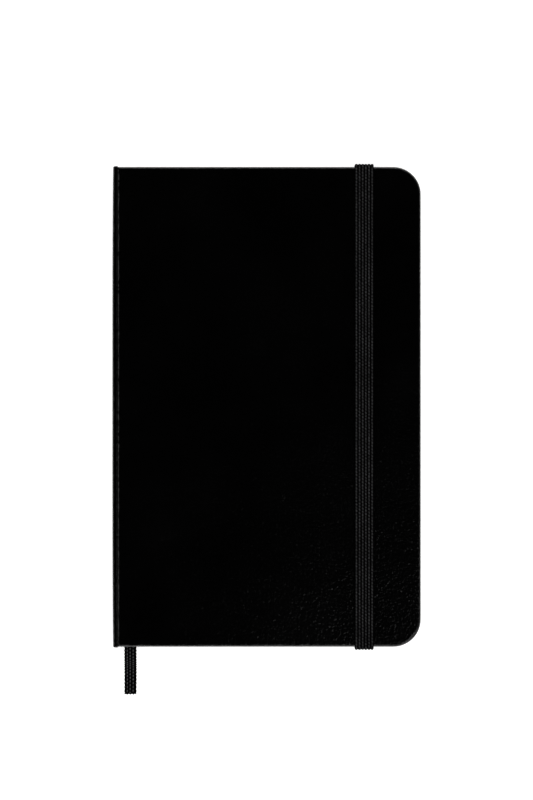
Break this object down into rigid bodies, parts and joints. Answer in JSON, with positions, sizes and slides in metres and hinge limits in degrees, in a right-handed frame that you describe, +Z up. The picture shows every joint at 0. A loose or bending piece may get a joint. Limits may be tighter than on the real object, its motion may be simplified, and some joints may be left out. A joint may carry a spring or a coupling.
{
  "type": "pocket notebook",
  "caption": "Hard-cover pocket notebook with rounded fore-edge corners, sewn pages, a ribbon marker, a back pocket and an elastic band that holds it shut.",
  "frame": {"origin": "middle of the closed notebook's footprint, on the surface that its back cover lies on; the ribbon marker is left out of the box", "axes": "+X from the spine to the fore-edge, +Y from the tail to the head, +Z up through the thickness, out of the front cover"},
  "size_m": [0.09, 0.1556, 0.0149],
  "materials": {
    "leatherette": "satin black grained covering",
    "cover_board": "grey millboard",
    "endpaper": "smooth ivory paper",
    "page_paper": "ivory writing paper",
    "pocket_card": "ivory card",
    "pocket_cloth": "black bookcloth",
    "ribbon": "black braided ribbon",
    "elastic": "black ribbed knitted elastic",
    "thread": "waxed linen thread",
    "gauze": "open cotton gauze, glued",
    "lining_paper": "brown kraft paper"
  },
  "bodies": {
    "root": {"back_covering": "leatherette", "back_board": "cover_board", "back_pastedown": "endpaper", "back_flyleaf": "endpaper", "back_joint_covering": "leatherette", "pocket_panel": "pocket_card", "pocket_gusset_head": "pocket_cloth", "pocket_gusset_tail": "pocket_cloth", "pocket_fore_fold": "pocket_cloth", "section_07": "page_paper", "section_08": "page_paper", "section_09": "page_paper", "section_10": "page_paper", "section_11": "page_paper", "section_12": "page_paper", "ribbon_marker": "ribbon", "elastic_head_run": "elastic", "elastic_tail_run": "elastic", "elastic_head_end": "elastic", "elastic_tail_end": "elastic"},
    "spine": {"spine_covering": "leatherette", "spine_strip": "cover_board", "sewing_thread": "thread", "spine_gauze": "gauze", "spine_lining_paper": "lining_paper"},
    "front_cover": {"front_covering": "leatherette", "front_board": "cover_board", "front_pastedown": "endpaper", "front_flyleaf": "endpaper", "front_joint_covering": "leatherette", "section_01": "page_paper", "section_02": "page_paper", "section_03": "page_paper", "section_04": "page_paper", "section_05": "page_paper", "section_06": "page_paper"},
    "band": {"elastic_front_run": "elastic"}
  },
  "joints": [
    {"name": "spine_hinge", "type": "hinge", "parent": "root", "child": "spine", "pos_m": [-0.04465, 0, 0.00035], "axis": [0, -1, 0], "range_deg": [0, 90], "deforming": ["back_joint_covering"]},
    {"name": "cover_hinge", "type": "hinge", "parent": "spine", "child": "front_cover", "pos_m": [-0.04465, 0, 0.01368], "axis": [0, -1, 0], "range_deg": [0, 90], "deforming": ["front_joint_covering"]},
    {"name": "band_slide", "type": "slide", "parent": "root", "child": "band", "axis": [1, 0, 0], "range_m": [0, 0.021], "stiffness_N_per_m": 60, "deforming": ["elastic_front_run", "elastic_head_run", "elastic_tail_run"]}
  ],
  "couplings": [
    {"joint": "spine_hinge", "follows": "cover_hinge", "ratio": 1}
  ]
}
